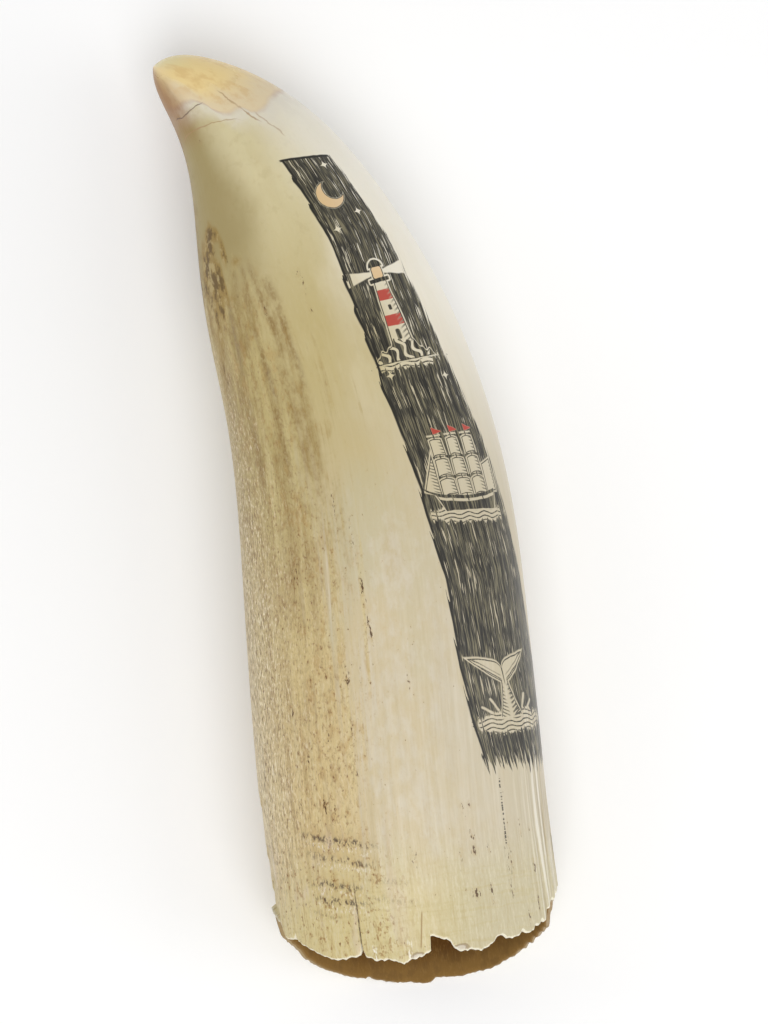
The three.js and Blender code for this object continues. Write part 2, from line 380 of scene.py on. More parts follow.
# Grey-violet streaks, in the same terms
GREY_STREAKS = np.array([
    (114.5, 96, 141, 141.8, 0.7, 1), (98, 90, 125.8, 125, 0.5, 0.8), (96, 70, 141.5, 140, 0.8, 0.5),
    (97, 92, 109.6, 109, 0.4, 0.6), (62, 30, 152, 150, 1, 0.5), (40, 14, 118, 117, 0.7, 0.35),
    (55, 20, 163, 162, 1, 0.6), (70, 45, 133, 132, 0.8, 0.35), (48, 16, 128, 127, 0.8, 0.4),
])
# Blots of the olive-brown stain: place along the spine, degrees round, radius along and round it, strength
STAIN_BLOTS = np.array([
    (124.9, 148.5, 1.3, 0.9, 1), (125.2, 140.5, 1, 0.8, 0.7), (121.6, 137, 2.2, 0.7, 0.8),
    (117.8, 144.5, 2, 1.1, 1), (117.2, 150, 1.6, 0.8, 0.7), (114, 141.5, 1.5, 0.6, 0.7),
    (120.6, 153.5, 2.2, 0.6, 0.6), (112.5, 148, 2.2, 0.9, 0.5), (127.5, 146, 1.2, 1, 0.4),
    (121.5, 158, 3.5, 0.7, 0.5), (116, 163, 4, 0.9, 0.5), (109.5, 155, 2.5, 0.9, 0.5),
    (119, 128.5, 0.8, 1.6, 0.5), (119.6, 118, 0.9, 1.4, 0.4), (110, 166, 3, 1, 0.4),
    (118, 175, 5, 1.5, 0.5), (108, 180, 5, 1.6, 0.4), (114, 190, 5, 2, 0.4), (120.5, 154, 5.5, 3.2, 0.55),
    (113.5, 149, 3.5, 2.4, 0.35), (126, 146, 1.6, 1.8, 0.4), (113.2, 134, 1, 2.4, 0.35),
    (106, 158, 6, 3, 0.35), (98, 164, 6, 2.4, 0.3),
])
# Clusters of tiny dark pits, in the same terms
PITTED_SPOTS = np.array([
    (54.5, 98.9, 2, 0.3, 1), (50.5, 98.2, 1.6, 0.25, 0.7), (47.6, 97.4, 1.2, 0.4, 1),
    (45.5, 96.7, 1, 0.3, 0.9), (39.8, 107.9, 0.5, 0.45, 1.4), (43.6, 108.2, 1.5, 0.2, 0.6),
    (38.2, 102.7, 2.2, 0.3, 0.7), (35, 134.5, 0.9, 0.4, 1.3), (29.8, 107.5, 1.6, 0.3, 0.9),
    (26.2, 128.6, 1, 0.5, 0.9), (23.3, 107.2, 0.9, 0.4, 0.8), (18, 122.5, 1.6, 0.3, 0.9),
    (17.7, 118.2, 1.8, 0.25, 0.9), (18.6, 134.5, 2, 0.3, 1), (110.5, 96.8, 1.5, 0.5, 0.7),
    (104.6, 97, 0.8, 0.3, 0.6), (103, 134.7, 0.5, 0.4, 1.2), (114.3, 141.5, 1, 0.3, 0.9),
    (108, 118.6, 0.8, 0.3, 0.8), (7.6, 88, 1.2, 0.6, 0.6), (10.4, 64, 0.9, 0.5, 0.9),
    (7.8, 64, 1, 0.5, 0.9), (145.2, 129, 0.5, 0.4, 1.2), (64, 101, 3, 0.4, 0.5), (70, 107, 3, 0.5, 0.5),
    (60, 128, 3, 0.8, 0.5), (24, 141, 3, 0.5, 0.8), (30, 118, 4, 0.8, 0.5), (15.6, 67.4, 0.5, 0.4, 1.1),
    (15.8, 63.9, 0.9, 0.3, 1), (12.1, 38.9, 0.5, 0.3, 1.2), (9.7, 39, 0.4, 0.3, 1.1),
    (10.6, 32.9, 0.5, 0.3, 1.1), (7.8, 57.2, 0.5, 0.4, 0.9), (3.7, 32.2, 1.3, 0.3, 1.1),
    (0.6, 58.2, 1, 0.5, 0.8), (0.3, 65.1, 0.9, 1, 0.8), (-1.4, 58, 0.5, 0.5, 0.9), (7.7, 70, 1.2, 0.4, 0.8),
    (-2.5, 33, 2, 0.3, 0.8), (-5, 40, 1.6, 0.3, 0.7), (5, 46.5, 3, 0.4, 0.7), (84, 92, 0.5, 0.4, 0.8),
    (38, 84, 0.5, 0.3, 0.8),
])

# The broken dark bands near the rim: place along the spine, degrees round of the middle and reach to each
# side, and strength
BANDS = (
    (0.2, 120, 20, 1), (-3, 119, 20, 0.8), (-7.4, 122, 17, 0.9), (-10, 121, 16, 1), (-12.6, 128, 12, 0.35),
    (-5.4, 101, 12, 0.25), (-8.8, 99, 14, 0.3),
)


def beyond_line(line, s, angle):
    """How far each place stands beyond a line round the skin, along the spine: s less the line's s there."""
    return s - np.interp(np.degrees(angle), line[:, 0], line[:, 1]) * MM


def beside_line(line, s, angle):
    """How far round the skin each place lies from a line along it: the difference in angle times the half
    width."""
    return np.radians(np.degrees(angle) - np.interp(s / MM, line[:, 0], line[:, 1])) * half_sizes(s)[0]


def streak_strength(streaks, s, angle):
    """How strongly streaks show: each a bell across, faded in and out over its ends, all of them added up."""
    total = np.zeros_like(s)
    for start, end, start_angle, end_angle, width, strength in streaks:
        share = (s / MM - start) / (end - start)
        line = start_angle + (end_angle - start_angle) * share
        across = np.radians(np.degrees(angle) - line) * half_sizes(s)[0] / (width * MM)
        ends = smooth_step(0, 0.12, share) * (1 - smooth_step(0.55, 1, share))
        total += strength * np.exp(-(across**2)) * ends
    return total


def blot_strength(blots, s, angle):
    """How strongly blots show: each a bell along the spine times a bell round the tooth, all of them added
    up."""
    total = np.zeros_like(s)
    for place, degrees, along, around, strength in blots:
        across = np.radians(np.degrees(angle) - degrees) * half_sizes(s)[0] / (around * MM)
        total += strength * np.exp(-(((s / MM - place) / along) ** 2) - across**2)
    return total


def aged_distance(s, angle):
    """How far round the tooth each place lies inside the brown side: up to its middle, and then down
    again."""
    edge = np.interp(s / MM, AGED_EDGE[:, 0], AGED_EDGE[:, 1])
    from_middle = np.abs((np.degrees(angle) - AGED_MIDDLE + 180) % 360 - 180)
    return np.radians((AGED_MIDDLE - edge) - from_middle) * half_sizes(s)[0]


def centred(points):
    """What takes the middle of the plain form's footprint over the middle of the solid's box."""
    low, high = points.reshape(-1, 3).min(0), points.reshape(-1, 3).max(0)
    box_low, box_high = (np.array(corner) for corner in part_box("tooth"))
    move = (box_low + box_high) / 2 - (low + high) / 2
    move[2] = 0
    return move


def grid_mesh(name, rows, first, last):
    """A closed skin from rows of points whose last column repeats the first, with a point at each end."""
    count, columns = rows.shape[0], rows.shape[1] - 1
    points = np.concatenate([first[None], rows[:, :-1].reshape(-1, 3), last[None]])
    row, column = np.meshgrid(np.arange(count - 1), np.arange(columns), indexing="ij")
    after = (column + 1) % columns

    def at(r, c):
        return 1 + r * columns + c
    corners = [at(row, column), at(row + 1, column), at(row + 1, after), at(row, after)]
    quads = np.stack(corners, -1).reshape(-1, 4)
    k = np.arange(columns)
    k_after = (k + 1) % columns
    first_fan = np.stack([np.zeros_like(k), at(0, k), at(0, k_after)], -1)
    last_fan = np.stack([at(count - 1, k), np.full_like(k, len(points) - 1), at(count - 1, k_after)], -1)
    mesh = bpy.data.meshes.new(name)
    mesh.from_pydata(points.tolist(), [], first_fan.tolist() + quads.tolist() + last_fan.tolist())
    return mesh


def add_corner_map(mesh, name, across, up):
    """A UV map from values per grid point. A face at the seam takes the last column's values, not the
    first's."""
    rows, columns = across.shape[0], across.shape[1] - 1
    row, column = np.meshgrid(np.arange(rows - 1), np.arange(columns), indexing="ij")
    k = np.arange(columns)

    def fan(r, order):
        return np.stack([np.stack([np.full_like(k, r), k + step], -1) for step in order], 1)
    steps = ((0, 0), (1, 0), (1, 1), (0, 1))
    quads = np.stack([np.stack([row + down, column + along], -1) for down, along in steps], -2)
    corners = np.concatenate([
        fan(0, (0, 0, 1)).reshape(-1, 2),
        quads.reshape(-1, 2),
        fan(rows - 1, (0, 0, 1)).reshape(-1, 2),
    ])
    values = np.stack([across[corners[:, 0], corners[:, 1]], up[corners[:, 0], corners[:, 1]]], -1)
    layer = mesh.uv_layers.new(name=name)
    layer.data.foreach_set("uv", values.astype(np.float32).ravel())


def add_point_values(mesh, name, values, at_first, at_last):
    """One number for each point of the skin, from values per grid point and one for each end."""
    data = np.concatenate([[at_first], values[:, :-1].ravel(), [at_last]]).astype(np.float32)
    mesh.attributes.new(name, "FLOAT", "POINT").data.foreach_set("value", data)


def mark_finishes(mesh, s, drawn_on, inside):
    """Each face's material: the root's, the middle's or the crown's by its place along the spine, then the
    same three with ink where a corner lies on the panel, and last the wall of the hollow, with the fan at
    its end."""
    place = (s[:-1, :-1] + s[1:, :-1]) / 2
    zone = (place > ROOT_ZONE).astype(int) + (place > CROWN_ZONE)
    touched = drawn_on[:-1, :-1] | drawn_on[1:, :-1] | drawn_on[:-1, 1:] | drawn_on[1:, 1:]
    in_hollow = (inside[:-1, :-1] + inside[1:, :-1]) / 2 > 0.4
    slots = np.where(in_hollow, HOLLOW_SLOT, zone + INKED_SLOTS * touched)
    columns = slots.shape[1]
    every_slot = np.concatenate([np.full(columns, HOLLOW_SLOT), slots.ravel(), np.full(columns, CROWN_SLOT)])
    mesh.polygons.foreach_set("material_index", every_slot.astype(np.int32))


def make_tooth():
    """The tooth's skin with its maps: grain round and along it, the ink panel's plane, and what is inside."""
    points, s, angle, inside, from_rim = tooth_grid()
    plain_angle = np.linspace(0, 2 * math.pi, 721)[None, :]
    rim_line = plain_rim(plain_angle)
    plain_s = rim_line + (SPINE_LENGTH - rim_line) * np.linspace(0, 1, 601)[:, None]
    move = centred(surface(plain_s, plain_angle))
    ends = np.array([PULP_DEPTH, SPINE_LENGTH])
    first, last = surface(ends, np.zeros(2), 0, 0)
    mesh = grid_mesh("tooth_skin", points + move, first + move, last + move)
    add_corner_map(mesh, "grain", angle * NOMINAL_RADIUS, s)
    panel_across, panel_up = panel_coordinates(s, angle)
    add_corner_map(mesh, "panel", panel_across, panel_up)
    drawn_on = (panel_across > -SIDE_MARGIN) & (panel_across < PANEL_WIDTH + SIDE_MARGIN) & (inside == 0)
    drawn_on &= (panel_up > -FOOT_MARGIN) & (panel_up < PANEL_LENGTH + TOP_MARGIN)
    mark_finishes(mesh, s, drawn_on, inside)
    beyond_cracks = [beyond_line(line, s, angle) for line in (UPPER_CRACK, LOWER_CRACK)]
    add_corner_map(mesh, "cracks_round", *beyond_cracks)
    beside_cracks = [beside_line(line, s, angle) for line in (LONG_CRACK, SHORT_CRACK)]
    add_corner_map(mesh, "cracks_along", *beside_cracks)
    add_corner_map(mesh, "zones", aged_distance(s, angle), beyond_line(TIP_EDGE, s, angle))
    streaks = [streak_strength(group, s, angle) * MM for group in (BROWN_STREAKS, GREY_STREAKS)]
    add_corner_map(mesh, "streaks", *streaks)
    blots = [blot_strength(group, s, angle) * MM for group in (STAIN_BLOTS, PITTED_SPOTS)]
    add_corner_map(mesh, "blots", *blots)
    add_point_values(mesh, "inside", inside, 1, 0)
    add_point_values(mesh, "from_rim", from_rim, PULP_DEPTH, SPINE_LENGTH)
    mesh.shade_smooth()
    tooth = bpy.data.objects.new("tooth_skin", mesh)
    bpy.context.scene.collection.objects.link(tooth)
    return tooth


class Field:
    """A number or colour that varies over a surface: a socket of a recipe. Arithmetic on it adds Math
    nodes."""

    def __init__(self, recipe, socket):
        self.recipe = recipe
        self.socket = socket

    def __add__(self, other):
        return self.recipe.math("ADD", self, other)

    def __sub__(self, other):
        return self.recipe.math("SUBTRACT", self, other)

    def __rsub__(self, other):
        return self.recipe.math("SUBTRACT", other, self)

    def __mul__(self, other):
        return self.recipe.math("MULTIPLY", self, other)

    def __truediv__(self, other):
        return self.recipe.math("DIVIDE", self, other)

    def __pow__(self, other):
        return self.recipe.math("POWER", self, other)

    def __abs__(self):
        return self.recipe.math("ABSOLUTE", self)

    __radd__ = __add__
    __rmul__ = __mul__

    def ease(self, start, end, low=0, high=1):
        """A smooth step from low, where the field is start, to high, where it is end."""
        sockets = {"Value": self, "From Min": start, "From Max": end, "To Min": low, "To Max": high}
        return self.recipe.node("MapRange", {"interpolation_type": "SMOOTHSTEP"}, sockets)

    def coated(self, tone, share):
        """This colour under a coat of another, in values as they are seen, by a share of 0 to 1."""
        return self.recipe.blend(self, seen(*tone), share)


class Recipe:
    """A material's node tree, and the few ways in which nodes are added to it."""

    def __init__(self, name):
        self.material = bpy.data.materials.new(name)
        self.material.use_nodes = True
        self.tree = self.material.node_tree
        self.shader = self.tree.nodes["Principled BSDF"]

    def feed(self, socket, value):
        """Links a field to a socket, or sets a plain value on it."""
        if isinstance(value, Field):
            self.tree.links.new(value.socket, socket)
        else:
            socket.default_value = value

    def node(self, kind, settings, inputs, output=0):
        """A node of a kind: its settings are made first, then its sockets are fed. Gives one of its
        outputs."""
        made = self.tree.nodes.new("ShaderNode" + kind)
        for name, value in settings.items():
            setattr(made, name, value)
        for key, value in inputs.items():
            self.feed(made.inputs[key], value)
        return Field(self, made.outputs[output])

    def math(self, operation, *values):
        return self.node("Math", {"operation": operation}, dict(enumerate(values)))

    def lesser(self, *values):
        return self.math("MINIMUM", *values)

    def greater(self, *values):
        return self.math("MAXIMUM", *values)

    def vector(self, x, y, z=0):
        return self.node("CombineXYZ", {}, {0: x, 1: y, 2: z})

    def parts(self, vector):
        """The x, y and z of a vector."""
        first = self.node("SeparateXYZ", {}, {0: vector})
        return [Field(self, socket) for socket in first.socket.node.outputs]

    def moved(self, vector, scale, shift=(0, 0, 0)):
        """A vector times a scale plus a shift, each by its own x, y and z."""
        return self.node("VectorMath", {"operation": "MULTIPLY_ADD"}, {0: vector, 1: scale, 2: shift})

    def noise(self, place, size, detail=2, roughness=0.5):
        """Soft noise about a mean of a half, with lumps of a size in the place's own unit."""
        sockets = {"Vector": place, "Scale": 1 / size, "Detail": detail, "Roughness": roughness}
        return self.node("TexNoise", {}, sockets)

    def vector_math(self, operation, *values, output="Vector"):
        return self.node("VectorMath", {"operation": operation}, dict(enumerate(values)), output)

    def blend(self, under, over, share):
        """One colour over another by a share of 0 to 1."""
        return self.node("Mix", {"data_type": "RGBA"}, {0: share, 6: under, 7: over}, 2)

    def oval(self, place, centre, half):
        """Distance from an oval's edge, negative inside: the scaled place's length less one, times its
        lesser half."""
        scale = (1 / half[0], 1 / half[1], 0)
        scaled = self.moved(place, scale, (-centre[0] * scale[0], -centre[1] * scale[1], 0))
        return self.vector_math("LENGTH", scaled, output="Value") * min(half) - min(half)

    def block(self, place, centre, half, rounding):
        """Distance from a round-cornered block's edge: the length of what lies beyond its inner block, less
        the rounding."""
        offset = self.vector_math("ABSOLUTE", self.moved(place, (1, 1, 0), (-centre[0], -centre[1], 0)))
        inner = (half[0] - rounding, half[1] - rounding, 0)
        beyond = self.vector_math("MAXIMUM", self.vector_math("SUBTRACT", offset, inner), (0, 0, 0))
        return self.vector_math("LENGTH", beyond, output="Value") - rounding

    def bar(self, place, start, end, width):
        """Distance from the edge of a stroke with round ends: from the nearest point of its line, less half
        its width."""
        run = (end[0] - start[0], end[1] - start[1], 0)
        squared = run[0] ** 2 + run[1] ** 2
        offset = self.moved(place, (1, 1, 0), (-start[0], -start[1], 0))
        unit = (run[0] / squared, run[1] / squared, 0)
        along = self.vector_math("DOT_PRODUCT", offset, unit, output="Value")
        share = self.node("Clamp", {}, {0: along})
        nearest = self.node("VectorMath", {"operation": "SCALE"}, {0: run, "Scale": share})
        return self.vector_math("DISTANCE", offset, nearest, output="Value") - width / 2

    def patch(self, place, corners):
        """Distance from the edge of a straight-sided patch, its corners named clockwise: the greatest of the
        distances beyond its sides."""
        beyond = None
        for start, end in zip(corners, corners[1:] + corners[:1]):
            length = math.dist(start, end)
            out = ((start[1] - end[1]) / length, (end[0] - start[0]) / length, 0)
            at_start = start[0] * out[0] + start[1] * out[1]
            side = self.vector_math("DOT_PRODUCT", place, out, output="Value") - at_start
            beyond = side if beyond is None else self.greater(beyond, side)
        return beyond

    def within(self, shape, soft=0.07):
        """1 inside a shape, 0 outside it."""
        return shape.ease(soft, -soft)

    def along_edge(self, shape, width=0.12):
        """1 on the edge of a shape, 0 away from it."""
        return abs(shape).ease(width, width * 0.4)

    def add_bump(self, height, strength, distance):
        """Lets the shading follow a height, as a shallow bump."""
        bump = self.node("Bump", {}, {"Strength": strength, "Distance": distance, "Height": height})
        self.feed(self.shader.inputs["Normal"], bump)

    def attribute(self, name):
        return self.node("Attribute", {"attribute_name": name}, {}, "Fac")

    def map(self, name):
        """The two millimetre values of a UV map."""
        across, up, _ = self.parts(self.node("UVMap", {"uv_map": name}, {}))
        return across * (1 / MM), up * (1 / MM)


def seen(red, green, blue):
    """A linear colour, from 0 to 255 values as they look in an evenly lit picture of white paper."""
    def linear(value):
        share = value / 255
        return share / 12.92 if share <= 0.04045 else ((share + 0.055) / 1.055) ** 2.4
    return (linear(red), linear(green), linear(blue), 1)


class Skin:
    """The fields that the tooth's layers share: where a place lies, and the noises that run over the whole
    skin."""

    def __init__(self, recipe):
        across, self.s = recipe.map("grain")
        turn = across * (MM / NOMINAL_RADIUS)
        self.degrees = turn * (180 / math.pi)
        self.right = recipe.math("COSINE", turn)
        self.height = recipe.math("SINE", turn)
        radius = self.s.ease(168, 95, 0.1, 1) * (NOMINAL_RADIUS / MM)
        self.place = recipe.vector(self.right * radius, self.height * radius, self.s)
        self.aged, self.crown = recipe.map("zones")
        self.brown, self.grey = recipe.map("streaks")
        self.stain, self.pitted = recipe.map("blots")
        self.lumps = recipe.noise(recipe.moved(self.place, (1, 1, 0.5)), 15, 1)
        self.patches = recipe.noise(recipe.moved(self.place, (1, 1, 0.35), (7, 0, 0)), 4.5, 3, 0.6)
        self.streaks = recipe.noise(recipe.moved(self.place, (1, 1, 0.04), (0, 13, 0)), 1.3, 3, 0.65)
        self.dashes = recipe.noise(recipe.moved(self.place, (1, 1, 0.3), (0, 0, 31)), 0.34, 2, 0.7)
        self.wash = recipe.noise(recipe.moved(self.place, (1, 1, 0.6), (3, 5, 0)), 1.8, 3, 0.6)
        self.brush = recipe.noise(recipe.moved(self.place, (1, 1, 0.06), (0, 0, 70)), 0.6, 2, 0.7)
        self.grit = recipe.noise(recipe.moved(self.place, (1, 1, 0.7), (50, 0, 9)), 0.6, 2, 0.6)


def body_colour(recipe, skin):
    """The polished ivory between tip and root: cream with slow patches and brushed streaks, paler at the
    right (partly a painted highlight) and olive at the upper left (partly patina, partly painted shade)."""
    cream = recipe.blend(seen(197, 186, 154), seen(202, 186, 150), skin.lumps.ease(0.42, 0.58))
    cream = cream.coated((186, 166, 124), skin.patches.ease(0.48, 0.66) * 0.4)
    mottle = (skin.wash * 0.6 + skin.patches * 0.5 + skin.lumps * 0.3).ease(0.62, 0.86)
    cream = cream.coated((214, 207, 192), mottle * skin.s.ease(84, 60) * 0.5)
    cream = cream.coated((190, 164, 118), skin.grit.ease(0.54, 0.72) * 0.22)
    upper = recipe.blend(seen(189, 172, 118), seen(216, 204, 160), skin.s.ease(100, 134))
    upper = upper.coated((206, 192, 146), skin.patches.ease(0.46, 0.66) * 0.4)
    upper = upper.coated((176, 157, 104), skin.wash.ease(0.52, 0.7) * 0.2)
    cream = recipe.blend(cream, upper, skin.s.ease(56, 96) * 0.9)
    # Paler at the right: partly a paler tone of the ivory and partly a painted highlight from the light on
    # that side.
    pale = (skin.right + (skin.lumps - 0.5) * 0.8 + (skin.patches - 0.5) * 0.2).ease(-0.1, 0.9)
    ivory = recipe.blend(seen(194, 183, 158), seen(244, 239, 226), skin.s.ease(62, 108))
    cream = recipe.blend(cream, ivory, pale * 0.9)
    brushed = skin.s.ease(84, 34, 0.25, 1)
    cream = cream.coated((222, 212, 190), skin.brush.ease(0.5, 0.68) * brushed * 0.16)
    cream = cream.coated((174, 155, 114), skin.brush.ease(0.47, 0.32) * brushed * 0.14)
    fibres = skin.streaks.ease(0.5, 0.66) * skin.s.ease(60, 30)
    cream = cream.coated((220, 212, 196), fibres * 0.18)
    # Olive at the upper left: partly patina and partly painted shade on the side turned away from the light.
    wavering = skin.degrees + (skin.lumps - 0.5) * 30 + (skin.patches - 0.5) * 10
    olive = wavering.ease(96, 134) * skin.s.ease(102, 124)
    cream = cream.coated((150, 131, 74), olive * 0.85)
    left_edge = (skin.degrees + (skin.wash - 0.5) * 24).ease(158, 172) * skin.s.ease(104, 114)
    return cream.coated((130, 98, 44), left_edge * skin.grit.ease(0.36, 0.6) * 0.7)


def aged_colour(recipe, skin, under):
    """The brown side: long streaks of tan and brown made of small specks, and towards the left a dense
    grain of short dark and pale dashes."""
    ragged = skin.aged + (skin.patches - 0.5) * 16 + (skin.streaks - 0.5) * 30 + (skin.wash - 0.5) * 8
    below = (skin.s + (skin.wash - 0.5) * 12 + (skin.patches - 0.5) * 16).ease(120, 112)
    aged = ragged.ease(-3, 9) * below
    lower = (skin.s + (skin.lumps - 0.5) * 30).ease(84, 22)
    tan = recipe.blend(seen(188, 170, 112), seen(164, 142, 84), skin.patches.ease(0.42, 0.6))
    tan = tan.coated((211, 187, 133), lower * 0.9)
    colour = recipe.blend(under, tan, aged * 0.85)
    broad = recipe.noise(recipe.moved(skin.place, (1, 1, 0.05), (21, 0, 4)), 3.4, 2, 0.5)
    upper = (skin.s + (skin.lumps - 0.5) * 30).ease(50, 88) * aged
    colour = colour.coated((138, 114, 60), broad.ease(0.5, 0.62) * upper * 0.36)
    colour = colour.coated((194, 178, 126), broad.ease(0.46, 0.36) * upper * 0.35)
    light_streak = skin.streaks.ease(0.54, 0.66) * (aged - upper * 0.45)
    colour = colour.coated((208, 193, 148), light_streak * 0.4)
    dark_streak = skin.streaks.ease(0.46, 0.34) * aged
    colour = colour.coated((136, 106, 52), dark_streak * 0.45)
    golden = skin.wash.ease(0.5, 0.66) * aged
    colour = colour.coated((170, 130, 62), golden * 0.35)
    specks = skin.grit.ease(0.56, 0.68) * (aged - upper * 0.4)
    colour = colour.coated((128, 82, 38), specks * 0.45)
    broken = skin.wash.ease(0.36, 0.56, 0.45, 1) * skin.grit.ease(0.34, 0.58, 0.5, 1)
    colour = colour.coated((122, 88, 20), recipe.lesser(skin.brown * broken, 1) * 0.66)
    colour = colour.coated((132, 114, 88), recipe.lesser(skin.grey * broken, 1) * 0.5)
    dense = (skin.aged + (skin.wash - 0.5) * 16).ease(10, 28) * below
    side = recipe.blend(seen(190, 170, 130), seen(212, 197, 164), lower)
    colour = recipe.blend(colour, side, dense * 0.45)
    dark_dashes = skin.dashes.ease(0.53, 0.66) * (aged * 0.26 - upper * 0.12 + dense * 0.54)
    colour = colour.coated((104, 74, 48), dark_dashes)
    pale_dashes = skin.dashes.ease(0.46, 0.34) * (dense * 0.8 + aged * 0.2 - upper * 0.15)
    return colour.coated((240, 229, 200), pale_dashes)


def stain_colour(recipe, skin, under):
    """The mottled olive-brown stain at the left, above the streaks."""
    blots = skin.stain + (skin.wash - 0.5) * 2.2 + (skin.patches - 0.5) * 1.6 + (skin.grit - 0.5) * 0.6
    colour = under.coated((148, 118, 48), skin.stain.ease(0.1, 0.5) * 0.8)
    colour = colour.coated((92, 66, 8), blots.ease(0.42, 0.9) * skin.stain.ease(0.05, 0.2) * 0.85)
    pale = skin.wash.ease(0.48, 0.36) * skin.stain.ease(0.15, 0.5)
    return colour.coated((192, 174, 124), pale * 0.5)


def tip_colour(recipe, skin, under):
    """The worn tip: yellow-orange with a wavy pinkish edge, a milky zone below that, and a brown left
    side."""
    crown = skin.crown + (skin.wash - 0.5) * 1.6
    milky = crown.ease(-6, -0.5) * skin.wash.ease(0.3, 0.55, 0.5, 1)
    colour = under.coated((226, 219, 202), milky * 0.85)
    colour = colour.coated((228, 208, 168), crown.ease(-0.4, 0.5) * 0.9)
    edge = abs(crown).ease(0.9, 0.1)
    colour = colour.coated((196, 168, 148), edge * skin.patches.ease(0.36, 0.6, 0.15, 0.5))
    orange = (crown + (skin.patches - 0.5) * 8).ease(1.5, 9)
    colour = colour.coated((240, 214, 152), orange)
    growth = (skin.streaks + (skin.wash - 0.5) * 0.5).ease(0.56, 0.3) * crown.ease(0, 3)
    colour = colour.coated((212, 172, 108), growth * 0.4)
    shade = (skin.degrees + (skin.streaks - 0.5) * 30).ease(104, 146) * crown.ease(-12, 1)
    colour = colour.coated((144, 94, 34), shade * 0.85)
    point = (skin.crown + (skin.patches - 0.5) * 6).ease(12.5, 18)
    return colour.coated((230, 216, 160), point * 0.75)


def root_colour(recipe, skin, under):
    """Near the rim: yellow cream, whiter at the right, with faint growth lines and chalky fibres; broken
    dark bands at the left; painted shade and painted highlight streaks along flutes at the far right; and a
    pale line along the break."""
    near = (skin.s + (skin.lumps - 0.5) * 14).ease(14, -2)
    cream = recipe.blend(seen(208, 193, 140), seen(193, 183, 148), skin.right.ease(-0.1, 0.6))
    colour = recipe.blend(under, cream, near * 0.75)
    ring_place = recipe.vector(skin.degrees * 0.03, skin.s + (skin.wash - 0.5) * 0.8)
    rings = recipe.noise(ring_place, 0.9, 2)
    colour = colour.coated((184, 168, 112), rings.ease(0.5, 0.66) * near * 0.25)
    fibres = skin.s.ease(18, 2)
    grain = skin.dashes + (skin.brush - 0.5) * 0.8
    colour = colour.coated((232, 224, 200), grain.ease(0.52, 0.7) * fibres * 0.2)
    at_left = skin.right.ease(0.1, -0.3)
    worn = grain.ease(0.46, 0.3) * fibres * (at_left * 0.36 + 0.16)
    colour = colour.coated((168, 138, 86), worn)
    rust = (skin.grit + (skin.wash - 0.5) * 0.6).ease(0.58, 0.7) * fibres * at_left
    colour = colour.coated((146, 102, 46), rust * 0.6)
    violet = skin.patches.ease(0.52, 0.64) * abs(skin.s - 4).ease(22, 8) * at_left
    colour = colour.coated((214, 198, 184), violet * 0.35)
    beads = abs(abs(skin.degrees - 101.5) - 7).ease(1.3, 0.5) * abs(skin.s + 10).ease(5, 2.5)
    colour = colour.coated((244, 240, 228), beads * skin.dashes.ease(0.48, 0.6) * 0.8)
    flutes = recipe.noise(recipe.vector(skin.degrees * 0.5, skin.s * 0.03, 8), 1.0, 2, 0.6)
    at_right = skin.right.ease(0.78, 0.95) * skin.s.ease(45, 12)
    # Painted shade in the flutes' grooves and painted highlight streaks on their ridges, at the far right.
    colour = colour.coated((150, 130, 98), flutes.ease(0.48, 0.36) * at_right * 0.55)
    colour = colour.coated((240, 236, 224), flutes.ease(0.52, 0.62) * at_right * 0.7)
    ticks = recipe.noise(recipe.vector(skin.degrees * DEGREE, skin.s * 0.4, 5), 0.32, 2, 0.6)
    band_place = skin.s - skin.degrees * 0.1 + (skin.wash - 0.5) * 2.4
    bands = 0
    halos = 0
    gaps = 0
    for place, middle, reach, strength in BANDS:
        offset = band_place - place
        here = (abs(skin.degrees - middle) + (skin.patches - 0.5) * 16).ease(reach, reach * 0.35) * strength
        bands = abs(offset).ease(0.85, 0.1) * here + bands
        halos = abs(offset - 0.5).ease(2.2, 0.3) * here + halos
        gaps = abs(offset + 1.2).ease(0.9, 0.2) * here + gaps
    colour = colour.coated((176, 146, 96), recipe.lesser(halos, 1) * 0.22)
    colour = colour.coated((236, 228, 214), recipe.lesser(gaps, 1) * ticks.ease(0.46, 0.36) * 0.6)
    dark = recipe.lesser(bands, 1) * (ticks + (skin.grit - 0.5) * 0.5).ease(0.46, 0.6)
    colour = colour.coated((62, 46, 44), dark * 0.82)
    place = recipe.vector(skin.degrees * DEGREE, skin.s)
    for degrees, along, half in ((92.0, -8.9, (1.1, 0.7)), (74.8, -8.5, (1.3, 0.7))):
        facet = recipe.oval(place, (degrees * DEGREE, along), half) + (skin.wash - 0.5) * 0.9
        colour = colour.coated((206, 197, 182), recipe.within(facet, 0.15) * 0.75)
        colour = colour.coated((134, 108, 70), recipe.along_edge(facet, 0.22) * 0.6)
    from_lamina = abs(skin.degrees - 1) + abs(skin.s - 8) * 0.5 + (flutes - 0.5) * 18 + (skin.wash - 0.5) * 8
    colour = colour.coated((96, 88, 74), from_lamina.ease(6, 2) * 0.6)
    from_rim = recipe.attribute("from_rim") * (1 / MM)
    edge = recipe.blend(seen(150, 122, 82), seen(242, 236, 214), skin.height.ease(-0.1, 0.02))
    return recipe.blend(colour, edge, from_rim.ease(0.4, 0.12) * 0.8)


